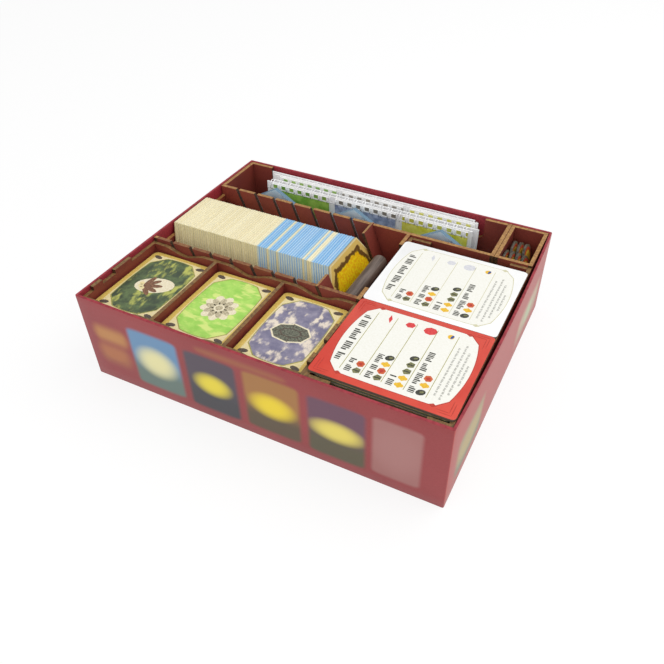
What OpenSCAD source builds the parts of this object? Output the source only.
// Open base of a board game box, filled with laser-cut organiser trays and the game's pieces.
// Millimetres. Origin at the centre of the box's underside, +X along the long front side to the
// right, +Y to the back, +Z up.

/* [Box] */
// Outside length of the box base
box_l = 290; // [280:1:320]
// Outside depth of the box base
box_w = 236; // [232:1:260]
// Outside height of the box base
box_h = 77; // [74:0.5:90]
// Thickness of the wrapped board of the box
box_board = 2; // [1.5:0.1:2.6]
// Radius of the wrapped upright edges
box_corner = 1.2; // [0.6:0.1:1.4]

/* [Organiser sheets] */
// Thickness of the laser-cut fibreboard
sheet = 3; // [2.5:0.1:3.4]
// Gap between a tray and its neighbour or the box
tray_gap = 0.4; // [0.3:0.05:0.8]
// Drop from the box's rim to the tops of the tall sheets
rim_drop = 0.5; // [0.2:0.1:2]
// Play around a tab in its slot
tab_play = 0.1; // [0.05:0.05:0.2]
// Length of a floor tab
floor_tab = 16; // [8:1:20]

/* [Tiles] */
// Drop from the tall sheets' tops to the tiles' upper left edges
tile_drop = 0.34; // [0:0.02:4]
// Thickness of a tile
tile_t = 1.95; // [1.6:0.05:2.1]
// Air between two tiles in the row
tile_air = 0.05; // [0.03:0.01:0.1]
// How many tiles at the left end have cream edges
land_count = 38; // [20:1:40]
// Lean of the tiles from upright, in degrees
lean = 20.75; // [16:0.25:24]
// Height of the lowest tile edge above the box's floor
tile_lift = 0.3; // [0.2:0.05:0.5]
// Gap between the tiles' side corners and the slotted walls
tile_gap = 0.5; // [0.3:0.1:1]

/* [Tile compartment] */
// Drop of the left wall's low middle below the tall sheets
left_wall_drop = 9; // [6:0.5:12]
// Distance between two slits
slit_pitch = 18.9; // [16:0.1:20]
// How many slits each slotted wall has
slit_count = 8; // [3:1:8]
// Depth of a slit along its slope
slit_depth = 56; // [40:1:60]
// Thickness of the divider plate
divider_t = 2.5; // [2:0.1:3]
// Play of the divider in its slit, on each side
slit_play = 0.2; // [0.15:0.05:0.4]
// Gap between the last tile and the divider
divider_gap = 0.8; // [0.4:0.1:0.9]
// Smallest gap between the divider's foot and the right wall
divider_foot_gap = 1.5; // [0.5:0.1:4]
// Depth of the divider's hand notch along its slope
divider_notch = 34; // [20:1:40]
// Width of the hand notch in the divider and in the right wall
hand_notch = 63; // [50:1:68]
// Depth of the hand notch in the right wall
wall_notch = 14.5; // [8:0.5:16]

/* [Marker peg] */
// Diameter of the round-ended peg
peg_d = 12; // [10:0.5:12.5]
// Length of the peg
peg_l = 64; // [50:0.5:66]
// Drop from the tall sheets' tops to the peg's ledge
ledge_drop = 18.5; // [16:0.5:22]
// Width of the ledge under the peg
ledge_w = 15; // [12:0.5:16]
// Length of the ledge under the peg
ledge_l = 52; // [40:1:60]

/* [Chart bay] */
// Inside depth of the chart bay
chart_bay = 45.9; // [45.5:0.1:47]
// Gap between the rear chart and the left end of the rear wall's cut-out
rear_cut_left = 1.5; // [0.5:0.1:10]
// Gap between the rear chart and the right end of the rear wall's cut-out
rear_cut_right = 8.5; // [0.5:0.1:15]
// Gap between the rear chart's rings and the bottom of the rear wall's cut-out
rear_cut_gap = 7; // [1:0.5:20]
// Width of a chart's boards
chart_w = 199; // [190:1:200]
// Drop from the box's rim to the top of the front chart
front_chart_drop = 4.6; // [2.6:0.1:12]
// Drop from the box's rim to the top of the rear chart
rear_chart_drop = 2.7; // [2.6:0.1:12]
// Thickness of a chart board
chart_board_t = 1; // [0.8:0.1:1.2]
// Thickness of a pack of pages
page_pack_t = 1.1; // [0.6:0.1:1.2]
// Width of one column of pages
page_w = 59; // [50:0.5:60]
// Distance between two page columns
page_pitch = 65.5; // [61:0.5:66]
// Mean radius of a wire ring
ring_r = 4.9; // [4.6:0.1:5]
// Diameter of the wire
wire_d = 1.1; // [0.8:0.1:1.1]
// Distance between two pairs of rings
ring_pitch = 8.49; // [7:0.01:8.6]
// Distance between the two rings of a pair
ring_pair = 2.6; // [2:0.1:2.8]
// Pairs of rings along a chart
ring_pairs = 23; // [3:1:23]
// Side of a square ring hole
ring_hole = 4.4; // [4.2:0.1:4.6]
// Thickness of one zigzag frame strip
strip_t = 2; // [1.6:0.1:2.1]
// How many zigzag frame strips stand in the bay
strip_count = 2; // [1:1:2]
// Drop from the box's rim to the strips' points
strip_drop = 1; // [0.5:0.5:12]

/* [Cards] */
// Width of a card
card_w = 54; // [50:0.5:56]
// Play of a card in its compartment's width
card_play = 3.6; // [1.5:0.1:8]
// Gap between a card and the card tray's front sheet
card_front_gap = 0.7; // [0.5:0.1:6]
// Gap between a card and the card tray's rear sheet
card_rear_gap = 1.8; // [0.5:0.1:6]
// Thickness of a single card
card_t = 0.4; // [0.3:0.05:0.6]
// Radius of a card's corners
card_r = 4; // [2:0.5:6]
// Drop from the card tray's tops to the top cards
deck_drop = 6; // [1:0.5:40]
// Drop from the box's rim to the card tray's tops
card_rim_drop = 3.5; // [2:0.5:6]
// Depth of the dips in the card tray's front and rear walls
wave_depth = 4.8; // [2:0.1:6]
// Width of one dip
wave_w = 40; // [30:1:44]

/* [Tokens] */
// Outside length of the token tray
token_tray_l = 30; // [28:0.5:40]
// Diameter of a round token
token_d = 24.6; // [20:0.1:26]
// Thickness of a token
token_t = 1.9; // [1.6:0.1:2]
// How many tokens lean in the tray
token_count = 7; // [3:1:7]
// Drop from the token tray's tops to its raised floor
token_depth = 29.5; // [27:0.5:34]

/* [Boards] */
// Thickness of the loose boards on top
board_t = 2; // [1.5:0.1:2.2]
// Gap between the board tray's front and the red board
board_front_gap = 4.6; // [0.5:0.1:8]
// Gap between the white board and the board tray's rear
board_rear_gap = 10; // [0.5:0.1:12]
// Thickness of a stored board under them
stored_t = 2.15; // [1.8:0.05:2.2]
// Height of the board tray's outside
board_tray_h = 34; // [32:0.5:40]
// Width of the board tray's sheets beside the hand cut-outs
board_cut_side = 17.5; // [8:0.5:30]
// Depth of the hand cut-outs in the board tray
board_cut_depth = 20; // [10:1:22]

/* [Hidden] */
$fn = 48;

// Colours of the materials
wrap_colour = "#9b4e53";
fibre_colour = "#6a2c24";
cream = "#efe5bf";
sea_blue = "#8fc4ef";
gold = "#e5b800";
peg_grey = "#8b7f74";
card_cream = "#e6d389";
token_grey = "#b9b3ab";
board_red = "#dd4b3a";
board_white = "#fafafa";
stored_green = "#4a4d42";
chart_white = "#f4f4f2";
page_green = "#6f9236";
wire_white = "#e8e8e8";
strip_blue = "#8fb0cf";

// Overlap of a cutting solid past the face that it opens
past = 1;

// Smallest gap between a loose round thing and what it stands on
seat = 0.3;

// Inside of the box, and the outside limits of what stands in it
floor_z = box_board;
in_x = box_l / 2 - box_board;
in_y = box_w / 2 - box_board;
left_x = -in_x + tray_gap;
right_x = in_x - tray_gap;
front_y = -in_y + tray_gap;
back_y = in_y - tray_gap;
tall_z = box_h - rim_drop;

// Lengths of the trays, from what they hold
card_bay_l = card_w + card_play;
left_l = 3 * card_bay_l + 4 * sheet;
token_x = right_x - token_tray_l;

// Main tray: the tile compartment in front of the chart bay, with the middle wall between them
tile_z = floor_z + tile_lift;
tile_flats = (tall_z - tile_drop - tile_z) / cos(lean);
tile_side = tile_flats / sqrt(3);
rear_wall_y = back_y - sheet;
middle_y = rear_wall_y - chart_bay - sheet;
tile_y = middle_y - tile_gap - tile_side;
comb_y = tile_y - tile_side - tile_gap - sheet;
tile_end_x = left_x + left_l - sheet;
chart_end_x = token_x - tray_gap - sheet;
main_tab = (tall_z - floor_z) / 4;
main_floor_top = floor_z + sheet;

// Tiles: each leans to the left, with its foot to the right
left_wall_z = tall_z - left_wall_drop;
left_wall_gap = 0.35;
left_wall_round = 1.5;
first_tile_x = left_x + sheet + left_wall_gap + (left_wall_z - tile_z) * tan(lean);
tile_step = (tile_t + tile_air) / cos(lean);
divider_reach = (tile_t + divider_gap + divider_t) / cos(lean) + divider_foot_gap;
tile_count = 1 + floor((tile_end_x - divider_reach - first_tile_x) / tile_step);
foot_slope = tan(30);
foot_play = 0.8;
foot_slot = tile_side + 2 * (sheet * foot_slope + foot_play);
foot_slot_start = 2;
foot_slot_end = 4;
coast_places = [land_count + 4, land_count + 8, tile_count - 12, tile_count - 10, tile_count - 9];

// Divider, in the last pair of slits, and the hand notches beside it
divider_x = first_tile_x + (tile_count - 1) * tile_step + (tile_t + divider_gap) / cos(lean);
divider_top = (tall_z - tile_z) / cos(lean);
divider_foot = (main_floor_top + seat - tile_z) / cos(lean);
divider_round = 6;
divider_notch_shift = 1;
wall_notch_shift = 2;
wall_notch_round = 3;
divider_inset = 0.35;
slit_w = divider_t + 2 * slit_play;

// Peg and its ledge
ledge_z = tall_z - ledge_drop;
peg_front_gap = 1;
peg_y = comb_y + sheet + peg_front_gap;
peg_inset = 3;
peg_x = tile_end_x - ledge_w / 2 - peg_inset;
peg_round = 2.5;
ledge_tab = 10;
ledge_tab_inset = 8;
ledge_tab_side = 2;

// Charts: the centre [y, z] of each chart's rings, and the boards' offsets from it
front_chart_h = box_h - front_chart_drop - main_floor_top;
rear_chart_h = box_h - rear_chart_drop - main_floor_top;
front_ring_inset = 16.5;
front_ring_drop = 3;
rear_ring_inset = 5.3;
rear_ring_drop = 3.3;
front_ring = [back_y - front_ring_inset, main_floor_top + front_chart_h - front_ring_drop];
rear_ring = [back_y - rear_ring_inset, main_floor_top + rear_chart_h - rear_ring_drop];
face_offset = 2.6;
front_back_offset = 2.2;
rear_back_offset = 1;
front_face_y = front_ring[0] - face_offset;
rear_face_y = rear_ring[0] - face_offset;
board_shift = 4;
page_air = 0.1;
page_top = 1.2;
page_foot = 4;
bay_middle_x = (left_x + sheet + chart_end_x) / 2;
front_chart_shift = 0.2;
rear_chart_shift = -2.8;
front_chart_x = bay_middle_x + front_chart_shift;
rear_chart_x = bay_middle_x + rear_chart_shift;
front_rings_shift = -1;
front_pages_shift = 1;
rear_rings_shift = 6.45;
rear_pages_shift = 6;
front_rings_x = front_chart_x + front_rings_shift;
front_pages_x = front_chart_x + front_pages_shift;
rear_rings_x = rear_chart_x + rear_rings_shift;
rear_pages_x = rear_chart_x + rear_pages_shift;
rear_cut_x = rear_chart_x - chart_w / 2 - rear_cut_left;
rear_cut_l = rear_cut_left + chart_w + rear_cut_right;
rear_cut_z = rear_ring[1] - ring_r - wire_d / 2 - rear_cut_gap;
rear_cut_round = 4;

// Strips: their zigzag has the pitch of the tiles' upper corners
strip_inset = 12.8;
strip_y = middle_y + sheet + strip_inset;
strip_air = 0.1;
strip_pitch = tile_flats;
strip_shift = -1.6;
strip_x = bay_middle_x + strip_shift;
strip_peak = strip_pitch / 2 * foot_slope;
strip_points = floor((chart_end_x - left_x - sheet - 2 * tile_gap) / strip_pitch);

// Card tray
card_top = box_h - card_rim_drop;
card_rear_y = comb_y - tray_gap;
card_tray = [left_x, front_y, floor_z, left_x + left_l, card_rear_y, card_top, floor_z];
card_l = card_rear_y - front_y - 2 * sheet - card_front_gap - card_rear_gap;
deck_h = card_top - deck_drop - floor_z - sheet;
wave_steps = 20;

// Raised teeth on the card tray's side sheets, as [start, end] from the tray's front
teeth = [[11, 20.6], [34.6, 53]];
tooth_drop = 0.2;

// Token tray, right of the chart bay
token_floor = tall_z - token_depth - sheet;
token_tray = [token_x, middle_y, floor_z, right_x, back_y, tall_z, token_floor];

// Tokens on edge in two staggered rows, each leaning further than the one on its left
token_start = 2.4;
token_front = 1.5;
token_rear = 3;
token_end = 1.1;
token_span = token_tray_l - 2 * sheet - token_start - token_t - token_end;
token_step = token_span / (token_count - 1);
token_lean = 4;
token_fan = 1.6;

// Board tray on the pieces tray, in the right front part of the box
boards_x = left_x + left_l + tray_gap;
boards_rear_y = middle_y - tray_gap;
board_drop = 0.1;
board_top = box_h - board_t - board_drop;
board_base = board_top - board_tray_h;
board_tray = [boards_x, front_y, board_base, right_x, boards_rear_y, board_top, board_base];
pieces_tray = [boards_x, front_y, floor_z, right_x, boards_rear_y, board_base, floor_z];
boards_l = right_x - boards_x;
board_cut = boards_l - 2 * board_cut_side;
board_cut_shift = 1;
board_cut_x = boards_x + board_cut_side + board_cut_shift;
board_cut_round = 5;
cross_count = 3;

// Boards on the board tray, and the smaller stored boards under them
board_inset = 0.2;
board_round = 1.5;
board_gap = 0.3;
board_d = (boards_rear_y - front_y - board_front_gap - board_gap - board_rear_gap) / 2;
red_board_y = front_y + board_front_gap;
white_board_y = red_board_y + board_d + board_gap;
stored_air = 0.04;
stored_drop = 1;
stored_count = floor((board_tray_h - sheet - seat - stored_drop) / (stored_t + stored_air));
stored_gap = 0.6;
stored_round = 3;
stored_inset = 1.8;
stored_l = boards_l - 2 * (sheet + stored_gap);
stored_d = board_d - 2.5;

// Solid block between two opposite corners
module block(a, b) {
    translate(a) cube(b - a);
}

// Flat outline with round corners, from its left front corner
module rounded(w, d, r) {
    translate([r, 0]) square([w - 2 * r, d]);
    translate([0, r]) square([w, d - 2 * r]);
    for (x = [r, w - r], y = [r, d - r]) translate([x, y]) circle(r = r);
}

// Height of the tabs that join a tray's upright sheets
function tab_height(t) = (t[5] - t[2]) / 4;

// Two tabs one above the other, between two opposite corners of their plan
module corner_tabs(a, b, top, h) {
    for (k = [0 : 1])
        block([a[0], a[1], top - (2 * k + 1) * h], [b[0], b[1], top - 2 * k * h]);
}

// Slots for such tabs: the upper one is open at the top
module corner_slots(a, b, top, h) {
    for (k = [0 : 1])
        block([a[0], a[1], top - (2 * k + 1) * h - tab_play],
            [b[0], b[1], top - 2 * k * h + (k == 0 ? past : tab_play)]);
}

// Slots through a sheet along X at y, for the tabs of a sheet along Y at x
module corner_slots_x(x, y, top, h) {
    corner_slots([x - tab_play, y - past], [x + sheet + tab_play, y + sheet + past], top, h);
}

// Slots through a sheet along Y at x, for the tabs of a sheet along X at y
module corner_slots_y(x, y, top, h) {
    corner_slots([x - past, y - tab_play], [x + sheet + past, y + sheet + tab_play], top, h);
}

// Starts of the floor tabs along an edge: two, or one where the edge is short
function tab_starts(a, b) =
    [for (f = b - a < 4 * floor_tab ? [0.5] : [0.25, 0.75]) a + (b - a) * f - floor_tab / 2];

// Floor tabs from y0 to y1 along an edge that runs along X
module tabs_x(x0, x1, y0, y1, z, play = 0) {
    for (s = tab_starts(x0, x1))
        block([s - play, y0, z - play], [s + floor_tab + play, y1, z + sheet + play]);
}

// Floor tabs from x0 to x1 along an edge that runs along Y
module tabs_y(y0, y1, x0, x1, z, play = 0) {
    for (s = tab_starts(y0, y1))
        block([x0, s - play, z - play], [x1, s + floor_tab + play, z + sheet + play]);
}

// Slots for floor tabs through a sheet along X at y
module slots_x(x0, x1, y, z) {
    tabs_x(x0, x1, y - past, y + sheet + past, z, tab_play);
}

// Slots for floor tabs through a sheet along Y at x
module slots_y(y0, y1, x, z) {
    tabs_y(y0, y1, x - past, x + sheet + past, z, tab_play);
}

// A tray is [x0, y0, z0, x1, y1, z1, floor height]. Its front and rear sheets run past its sides.
module tray_floor(t) {
    block([t[0] + sheet, t[1] + sheet, t[6]], [t[3] - sheet, t[4] - sheet, t[6] + sheet]);
    tabs_x(t[0], t[3], t[1], t[4], t[6]);
    tabs_y(t[1], t[4], t[0], t[3], t[6]);
}

module tray_x_wall(t, y) {
    difference() {
        block([t[0], y, t[2]], [t[3], y + sheet, t[5]]);
        for (x = [t[0], t[3] - sheet]) corner_slots_x(x, y, t[5], tab_height(t));
        slots_x(t[0], t[3], y, t[6]);
    }
}

module tray_y_wall(t, x) {
    difference() {
        union() {
            block([x, t[1] + sheet, t[2]], [x + sheet, t[4] - sheet, t[5]]);
            corner_tabs([x, t[1]], [x + sheet, t[4]], t[5], tab_height(t));
        }
        slots_y(t[1], t[4], x, t[6]);
    }
}

// Outline of a hand cut-out with round bottom corners, open at the top
module cut_outline(w, depth, r) {
    translate([r, -depth]) square([w - 2 * r, depth + past]);
    translate([0, r - depth]) square([w, depth - r + past]);
    for (x = [r, w - r]) translate([x, r - depth]) circle(r = r);
}

// Cut-out through a sheet that runs along X, from its left end at x and the sheet's top
module cut_x(x, y, top, w, depth, r) {
    translate([x, y + sheet + past, top]) rotate([90, 0, 0])
        linear_extrude(sheet + 2 * past) cut_outline(w, depth, r);
}

// Cut-out through a sheet that runs along Y, from its front end at y and the sheet's top
module cut_y(x, y, top, w, depth, r) {
    translate([x - past, y, top]) rotate([90, 0, 90])
        linear_extrude(sheet + 2 * past) cut_outline(w, depth, r);
}

// Box base: a bottom board, and four walls that stand on it
module box_bottom() {
    color(wrap_colour) translate([-box_l / 2, -box_w / 2, 0])
        linear_extrude(floor_z) rounded(box_l, box_w, box_corner);
}

// The stretch of the box's outline between two opposite corners, as a wall
module box_wall(a, b) {
    color(wrap_colour) intersection() {
        translate([-box_l / 2, -box_w / 2, floor_z])
            linear_extrude(box_h - floor_z) rounded(box_l, box_w, box_corner);
        block([a[0], a[1], 0], [b[0], b[1], box_h + past]);
    }
}

module box_front_wall() { box_wall([-box_l / 2, -box_w / 2], [box_l / 2, -in_y]); }
module box_rear_wall() { box_wall([-box_l / 2, in_y], [box_l / 2, box_w / 2]); }
module box_left_wall() { box_wall([-box_l / 2, -in_y], [-in_x, in_y]); }
module box_right_wall() { box_wall([in_x, -in_y], [box_l / 2, in_y]); }

// Slanted slits of the slotted walls, cut through the sheet at y
module slits(y) {
    for (k = [0 : slit_count - 1])
        translate([divider_x - k * slit_pitch, y - past, tile_z]) rotate([0, -lean, 0])
            translate([-slit_play, 0, divider_top - slit_depth])
                cube([slit_w, sheet + 2 * past, slit_depth + 2 * sheet]);
}

// Tabs of the ledge through the end wall and the front slotted wall
module ledge_tabs(play = 0, reach = 0) {
    first = comb_y + sheet + ledge_tab_inset;
    last = comb_y + sheet + ledge_l - ledge_tab_inset - ledge_tab;
    right = tile_end_x - ledge_tab_side;
    for (y = [first, last])
        block([tile_end_x - reach, y - play, ledge_z - sheet - play],
            [tile_end_x + sheet + reach, y + ledge_tab + play, ledge_z + play]);
    block([right - ledge_tab - play, comb_y - reach, ledge_z - sheet - play],
        [right + play, comb_y + sheet + reach, ledge_z + play]);
}

// Floor of the tile compartment, with a slot that the tiles' feet reach into
module tile_floor() {
    color(fibre_colour) {
        difference() {
            block([left_x + sheet, comb_y + sheet, floor_z], [tile_end_x, middle_y, main_floor_top]);
            block([first_tile_x - foot_slot_start, tile_y - foot_slot / 2, floor_z - past],
                [tile_end_x - foot_slot_end, tile_y + foot_slot / 2, main_floor_top + past]);
        }
        tabs_x(left_x, tile_end_x, comb_y, comb_y + 2 * sheet, floor_z);
        tabs_x(left_x, tile_end_x, middle_y - sheet, middle_y + sheet, floor_z);
        tabs_y(comb_y, middle_y, left_x, left_x + 2 * sheet, floor_z);
        tabs_y(comb_y, middle_y, tile_end_x - sheet, tile_end_x + sheet, floor_z);
    }
}

module chart_floor() {
    color(fibre_colour) {
        block([left_x + sheet, middle_y + sheet, floor_z], [chart_end_x, rear_wall_y, main_floor_top]);
        tabs_x(tile_end_x, chart_end_x, middle_y, middle_y + 2 * sheet, floor_z);
        tabs_x(left_x, chart_end_x, rear_wall_y - sheet, rear_wall_y + sheet, floor_z);
        tabs_y(middle_y, rear_wall_y, left_x, left_x + 2 * sheet, floor_z);
        tabs_y(middle_y, rear_wall_y, chart_end_x - sheet, chart_end_x + sheet, floor_z);
    }
}

module front_slotted_wall() {
    color(fibre_colour) difference() {
        block([left_x, comb_y, floor_z], [tile_end_x + sheet, comb_y + sheet, tall_z]);
        for (x = [left_x, tile_end_x]) corner_slots_x(x, comb_y, tall_z, main_tab);
        slots_x(left_x, tile_end_x, comb_y, floor_z);
        ledge_tabs(tab_play, past);
        slits(comb_y);
    }
}

module middle_slotted_wall() {
    color(fibre_colour) difference() {
        union() {
            block([left_x + sheet, middle_y, floor_z], [chart_end_x + sheet, middle_y + sheet, tall_z]);
            corner_tabs([left_x, middle_y], [left_x + 2 * sheet, middle_y + sheet], tall_z, main_tab);
        }
        for (x = [tile_end_x, chart_end_x]) corner_slots_x(x, middle_y, tall_z, main_tab);
        slots_x(left_x, tile_end_x, middle_y, floor_z);
        slots_x(tile_end_x, chart_end_x, middle_y, floor_z);
        slits(middle_y);
    }
}

// Left wall of both compartments, low where the tiles lean over it
module left_end_wall() {
    color(fibre_colour) difference() {
        union() {
            block([left_x, comb_y + sheet, floor_z], [left_x + sheet, rear_wall_y, tall_z]);
            corner_tabs([left_x, comb_y], [left_x + sheet, back_y], tall_z, main_tab);
        }
        corner_slots_y(left_x, middle_y, tall_z, main_tab);
        slots_y(comb_y, middle_y, left_x, floor_z);
        slots_y(middle_y, rear_wall_y, left_x, floor_z);
        cut_y(left_x, comb_y + sheet, tall_z, middle_y - comb_y - sheet, left_wall_drop, left_wall_round);
    }
}

// Right wall of the tile compartment, with a hand notch and the ledge's slots
module tile_end_wall() {
    color(fibre_colour) difference() {
        union() {
            block([tile_end_x, comb_y + sheet, floor_z], [tile_end_x + sheet, middle_y, tall_z]);
            corner_tabs([tile_end_x, comb_y], [tile_end_x + sheet, middle_y + sheet], tall_z, main_tab);
        }
        slots_y(comb_y, middle_y, tile_end_x, floor_z);
        ledge_tabs(tab_play, past);
        cut_y(tile_end_x, tile_y - hand_notch / 2 - wall_notch_shift, tall_z,
            hand_notch, wall_notch, wall_notch_round);
    }
}

module chart_rear_wall() {
    color(fibre_colour) difference() {
        block([left_x, rear_wall_y, floor_z], [chart_end_x + sheet, back_y, tall_z]);
        for (x = [left_x, chart_end_x]) corner_slots_x(x, rear_wall_y, tall_z, main_tab);
        slots_x(left_x, chart_end_x, rear_wall_y, floor_z);
        cut_x(rear_cut_x, rear_wall_y, tall_z, rear_cut_l, tall_z - rear_cut_z, rear_cut_round);
    }
}

module chart_end_wall() {
    color(fibre_colour) difference() {
        union() {
            block([chart_end_x, middle_y + sheet, floor_z], [chart_end_x + sheet, rear_wall_y, tall_z]);
            corner_tabs([chart_end_x, middle_y], [chart_end_x + sheet, back_y], tall_z, main_tab);
        }
        slots_y(middle_y, rear_wall_y, chart_end_x, floor_z);
    }
}

// Ledge that carries the marker peg, tabbed into the end wall and the front slotted wall
module peg_ledge() {
    color(fibre_colour) {
        block([tile_end_x - ledge_w, comb_y + sheet, ledge_z - sheet],
            [tile_end_x, comb_y + sheet + ledge_l, ledge_z]);
        ledge_tabs();
    }
}

// Leaning divider: a plate between the slotted walls, with ears that hang in their slits
module tile_divider() {
    body_w = middle_y - comb_y - sheet - 2 * divider_inset;
    ear_low = divider_top - slit_depth + slit_play;
    color(fibre_colour) translate([divider_x, 0, tile_z]) rotate([0, -lean, 0]) difference() {
        union() {
            translate([0, comb_y + sheet + divider_inset, divider_foot])
                cube([divider_t, body_w, divider_top - divider_foot]);
            translate([0, comb_y, ear_low])
                cube([divider_t, middle_y + sheet - comb_y, divider_top - ear_low]);
        }
        translate([-past, tile_y - hand_notch / 2 - divider_notch_shift, divider_top])
            rotate([90, 0, 90]) linear_extrude(divider_t + 2 * past)
                cut_outline(hand_notch, divider_notch, divider_round);
    }
}

// One leaning hexagonal tile, counted from the left
module tile(i) {
    translate([first_tile_x + i * tile_step, tile_y, tile_z]) rotate([0, -lean, 0]) rotate([90, 0, 90])
        linear_extrude(tile_t) translate([0, tile_flats / 2]) circle(r = tile_side, $fn = 6);
}

function is_coast(i) = len([for (c = coast_places) if (c == i) c]) > 0;

module land_tiles() {
    color(cream) for (i = [0 : land_count - 1]) tile(i);
}

module sea_tiles() {
    color(sea_blue) for (i = [land_count : tile_count - 2]) if (!is_coast(i)) tile(i);
}

module coast_tiles() {
    color(cream) for (i = coast_places) tile(i);
}

module end_tile() {
    color(gold) tile(tile_count - 1);
}

// Peg with rounded ends, lying along Y on its ledge
module marker_peg() {
    r = peg_d / 2;
    color(peg_grey) translate([peg_x, peg_y, ledge_z + seat + r]) rotate([-90, 0, 0])
        rotate_extrude() {
            square([r - peg_round, peg_l]);
            translate([0, peg_round]) square([r, peg_l - 2 * peg_round]);
            for (z = [peg_round, peg_l - peg_round]) translate([r - peg_round, z]) circle(r = peg_round);
        }
}

// Left end of a card compartment's inside
function bay_x(i) = left_x + sheet + i * (card_bay_l + sheet);

// Depth of the wavy top at x below the tray's top
function dip(x, i) =
    let (u = (x - bay_x(i) - (card_bay_l - wave_w) / 2) / wave_w)
    u < 0 || u > 1 ? 0 : wave_depth * (1 - cos(360 * u)) / 2;

// Solid above the wavy top of the card tray's front and rear sheets
module above_wave(y) {
    translate([0, y + sheet + past, 0]) rotate([90, 0, 0]) linear_extrude(sheet + 2 * past)
        for (i = [0 : 2]) {
            start = bay_x(i) + (card_bay_l - wave_w) / 2;
            polygon([for (k = [0 : wave_steps])
                let (x = start + wave_w * k / wave_steps) [x, card_top - dip(x, i)],
                [start + wave_w, card_top + past], [start, card_top + past]]);
        }
}

module card_tray_floor() {
    color(fibre_colour) tray_floor(card_tray);
}

module card_tray_front() {
    color(fibre_colour) difference() {
        tray_x_wall(card_tray, card_tray[1]);
        divider_slots(card_tray[1]);
        above_wave(card_tray[1]);
    }
}

module card_tray_rear() {
    color(fibre_colour) difference() {
        tray_x_wall(card_tray, card_tray[4] - sheet);
        divider_slots(card_tray[4] - sheet);
        above_wave(card_tray[4] - sheet);
    }
}

module side_teeth(x) {
    for (t = teeth)
        block([x, front_y + t[0], card_top], [x + sheet, front_y + t[1], box_h - tooth_drop]);
}

module card_tray_left() {
    color(fibre_colour) {
        tray_y_wall(card_tray, card_tray[0]);
        side_teeth(card_tray[0]);
    }
}

module card_tray_right() {
    color(fibre_colour) {
        tray_y_wall(card_tray, card_tray[3] - sheet);
        side_teeth(card_tray[3] - sheet);
    }
}

// Slots for the dividers' tabs through the card tray's front or rear sheet
module divider_slots(y) {
    for (i = [1 : 2]) corner_slots_x(bay_x(i) - sheet, y, card_top, tab_height(card_tray));
}

module card_tray_dividers() {
    color(fibre_colour) for (i = [1 : 2]) {
        block([bay_x(i) - sheet, card_tray[1] + sheet, floor_z + sheet],
            [bay_x(i), card_tray[4] - sheet, card_top]);
        corner_tabs([bay_x(i) - sheet, card_tray[1]], [bay_x(i), card_tray[4]],
            card_top, tab_height(card_tray));
    }
}

// Flat stack of card in compartment i, between two heights above the tray's floor
module card_block(i, low, high) {
    translate([bay_x(i) + (card_bay_l - card_w) / 2, card_tray[4] - sheet - card_rear_gap - card_l,
        floor_z + sheet + low]) linear_extrude(high - low) rounded(card_w, card_l, card_r);
}

module deck(i) {
    color(chart_white) card_block(i, seat, deck_h - card_t);
}

module top_card(i) {
    color(card_cream) card_block(i, deck_h - card_t, deck_h);
}

module left_deck() { deck(0); }
module centre_deck() { deck(1); }
module right_deck() { deck(2); }
module left_top_card() { top_card(0); }
module centre_top_card() { top_card(1); }
module right_top_card() { top_card(2); }

module token_tray_floor() {
    color(fibre_colour) tray_floor(token_tray);
}

module token_tray_front() {
    color(fibre_colour) tray_x_wall(token_tray, token_tray[1]);
}

module token_tray_rear() {
    color(fibre_colour) tray_x_wall(token_tray, token_tray[4] - sheet);
}

module token_tray_left() {
    color(fibre_colour) tray_y_wall(token_tray, token_tray[0]);
}

module token_tray_right() {
    color(fibre_colour) tray_y_wall(token_tray, token_tray[3] - sheet);
}

module tokens() {
    front_row = token_tray[1] + sheet + token_front + token_d / 2;
    rear_row = token_tray[4] - sheet - token_rear - token_d / 2;
    color(token_grey) for (i = [0 : token_count - 1])
        translate([token_x + sheet + token_start + i * token_step, i % 2 == 0 ? front_row : rear_row,
            token_floor + sheet + seat]) rotate([0, -token_lean - i * token_fan, 0])
            translate([0, 0, token_d / 2]) rotate([0, 90, 0]) cylinder(d = token_d, h = token_t);
}

module pieces_tray_floor() {
    color(fibre_colour) tray_floor(pieces_tray);
}

module pieces_tray_ends() {
    color(fibre_colour) for (y = [pieces_tray[1], pieces_tray[4] - sheet])
        tray_x_wall(pieces_tray, y);
}

module pieces_tray_sides() {
    color(fibre_colour) for (x = [pieces_tray[0], pieces_tray[3] - sheet]) difference() {
        tray_y_wall(pieces_tray, x);
        for (k = [1 : cross_count]) corner_slots_y(x, cross_y(k), pieces_tray[5], tab_height(pieces_tray));
    }
}

// Front face of the pieces tray's cross sheet k
function cross_y(k) =
    pieces_tray[1] + (pieces_tray[4] - pieces_tray[1]) * k / (cross_count + 1) - sheet / 2;

module pieces_tray_dividers() {
    color(fibre_colour) for (k = [1 : cross_count]) {
        block([pieces_tray[0] + sheet, cross_y(k), floor_z + sheet],
            [pieces_tray[3] - sheet, cross_y(k) + sheet, pieces_tray[5]]);
        corner_tabs([pieces_tray[0], cross_y(k)], [pieces_tray[3], cross_y(k) + sheet],
            pieces_tray[5], tab_height(pieces_tray));
    }
}

module board_tray_floor() {
    color(fibre_colour) tray_floor(board_tray);
}

module board_tray_end(y) {
    color(fibre_colour) difference() {
        tray_x_wall(board_tray, y);
        cut_x(board_cut_x, y, board_top, board_cut, board_cut_depth, board_cut_round);
    }
}

module board_tray_front() { board_tray_end(board_tray[1]); }
module board_tray_rear() { board_tray_end(board_tray[4] - sheet); }

module board_tray_left() {
    color(fibre_colour) tray_y_wall(board_tray, board_tray[0]);
}

module board_tray_right() {
    color(fibre_colour) tray_y_wall(board_tray, board_tray[3] - sheet);
}

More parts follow.
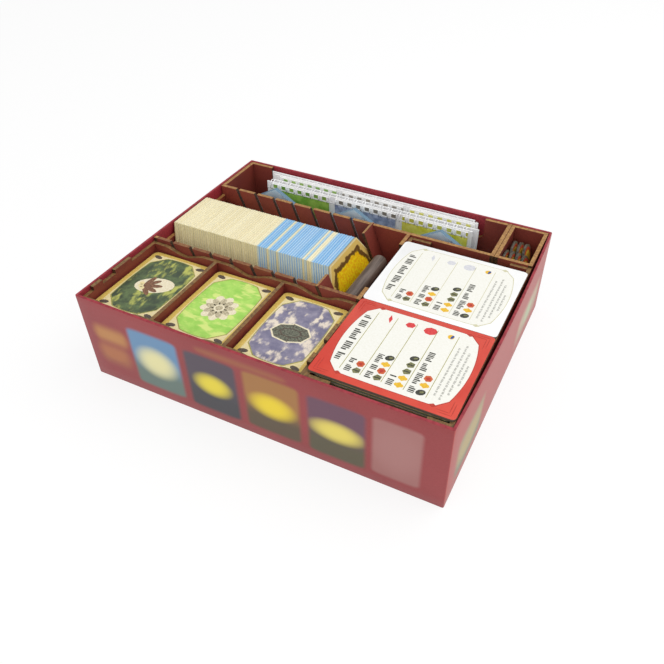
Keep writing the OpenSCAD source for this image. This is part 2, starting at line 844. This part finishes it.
// Stack of stored boards on the board tray's floor, under the top board that starts at y
module board_stack(y) {
    color(stored_green) for (k = [0 : stored_count - 1])
        translate([boards_x + sheet + stored_gap, y + stored_inset,
            board_base + sheet + seat + k * (stored_t + stored_air)])
            linear_extrude(stored_t) rounded(stored_l, stored_d, stored_round);
}

module front_board_stack() { board_stack(red_board_y); }
module rear_board_stack() { board_stack(white_board_y); }

// Board that lies on the board tray's top edges, from y
module top_board(y) {
    translate([boards_x + board_inset, y, board_top])
        linear_extrude(board_t) rounded(boards_l - 2 * board_inset, board_d, board_round);
}

module red_board() {
    color(board_red) top_board(red_board_y);
}

module white_board() {
    color(board_white) top_board(white_board_y);
}

// Middle of ring pair k in a row centred at x
function pair_x(x, k) = x + (k - (ring_pairs - 1) / 2) * ring_pitch;

// Height at which the rings pass down through a flat thing at y
function ring_low(ring, y) = ring[1] - sqrt(ring_r * ring_r - pow(y - ring[0], 2));

// Square holes for a row of rings centred at x
module ring_holes(x, ring, y0, y1) {
    z = ring_low(ring, (y0 + y1) / 2);
    for (k = [0 : ring_pairs - 1])
        block([pair_x(x, k) - ring_hole / 2, y0 - past, z - ring_hole / 2],
            [pair_x(x, k) + ring_hole / 2, y1 + past, z + ring_hole / 2]);
}

// White board of a chart centred at x, upright at y, on rings centred at rings_x
module chart_board(x, rings_x, ring, y, h) {
    color(chart_white) difference() {
        block([x - chart_w / 2, y, main_floor_top + seat],
            [x + chart_w / 2, y + chart_board_t, main_floor_top + h]);
        ring_holes(rings_x, ring, y, y + chart_board_t);
    }
}

// Three packs of pages, centred at x, that hang in front of a chart's face board
module chart_pages(x, rings_x, ring, y, h) {
    color(page_green) difference() {
        for (side = [-1 : 1])
            block([x + side * page_pitch - page_w / 2, y - page_pack_t, main_floor_top + page_foot],
                [x + side * page_pitch + page_w / 2, y, main_floor_top + h - page_top]);
        ring_holes(rings_x, ring, y - page_pack_t, y);
    }
}

// Row of twin wire rings centred at x
module chart_wires(x, ring) {
    color(wire_white) for (k = [0 : ring_pairs - 1], side = [-1, 1])
        translate([pair_x(x, k) + side * ring_pair / 2, ring[0], ring[1]]) rotate([0, 90, 0])
            rotate_extrude() translate([ring_r, 0]) circle(d = wire_d, $fn = 24);
}

module front_chart_face_board() {
    chart_board(front_chart_x, front_rings_x, front_ring, front_face_y, front_chart_h);
}
module front_chart_back_board() {
    chart_board(front_chart_x + board_shift, front_rings_x, front_ring,
        front_ring[0] + front_back_offset, front_chart_h);
}
module front_chart_pages() {
    chart_pages(front_pages_x, front_rings_x, front_ring, front_face_y - page_air, front_chart_h);
}
module front_chart_wires() {
    chart_wires(front_rings_x, front_ring);
}
module rear_chart_face_board() {
    chart_board(rear_chart_x + board_shift, rear_rings_x, rear_ring, rear_face_y, rear_chart_h);
}
module rear_chart_back_board() {
    chart_board(rear_chart_x, rear_rings_x, rear_ring, rear_ring[0] + rear_back_offset,
        rear_chart_h);
}
module rear_chart_pages() {
    chart_pages(rear_pages_x, rear_rings_x, rear_ring, rear_face_y - page_air, rear_chart_h);
}
module rear_chart_wires() {
    chart_wires(rear_rings_x, rear_ring);
}

// Zigzag strips that stand in the bay in front of the charts
module frame_strips() {
    low = main_floor_top + seat;
    high = box_h - strip_drop;
    start = strip_x - strip_points * strip_pitch / 2;
    outline = concat([[start, low]],
        [for (k = [0 : 2 * strip_points])
            [start + k * strip_pitch / 2, high - (k % 2 == 0 ? strip_peak : 0)]],
        [[start + strip_points * strip_pitch, low]]);
    color(strip_blue) for (k = [0 : strip_count - 1])
        translate([0, strip_y + strip_t + k * (strip_t + strip_air), 0]) rotate([90, 0, 0])
            linear_extrude(strip_t) polygon(outline);
}

box_bottom();
box_front_wall();
box_rear_wall();
box_left_wall();
box_right_wall();
tile_floor();
chart_floor();
front_slotted_wall();
middle_slotted_wall();
left_end_wall();
tile_end_wall();
chart_rear_wall();
chart_end_wall();
peg_ledge();
tile_divider();
land_tiles();
sea_tiles();
coast_tiles();
end_tile();
marker_peg();
card_tray_floor();
card_tray_front();
card_tray_rear();
card_tray_left();
card_tray_right();
card_tray_dividers();
left_deck();
centre_deck();
right_deck();
left_top_card();
centre_top_card();
right_top_card();
token_tray_floor();
token_tray_front();
token_tray_rear();
token_tray_left();
token_tray_right();
tokens();
pieces_tray_floor();
pieces_tray_ends();
pieces_tray_sides();
pieces_tray_dividers();
board_tray_floor();
board_tray_front();
board_tray_rear();
board_tray_left();
board_tray_right();
front_board_stack();
rear_board_stack();
red_board();
white_board();
front_chart_face_board();
front_chart_back_board();
front_chart_pages();
front_chart_wires();
rear_chart_face_board();
rear_chart_back_board();
rear_chart_pages();
rear_chart_wires();
frame_strips();
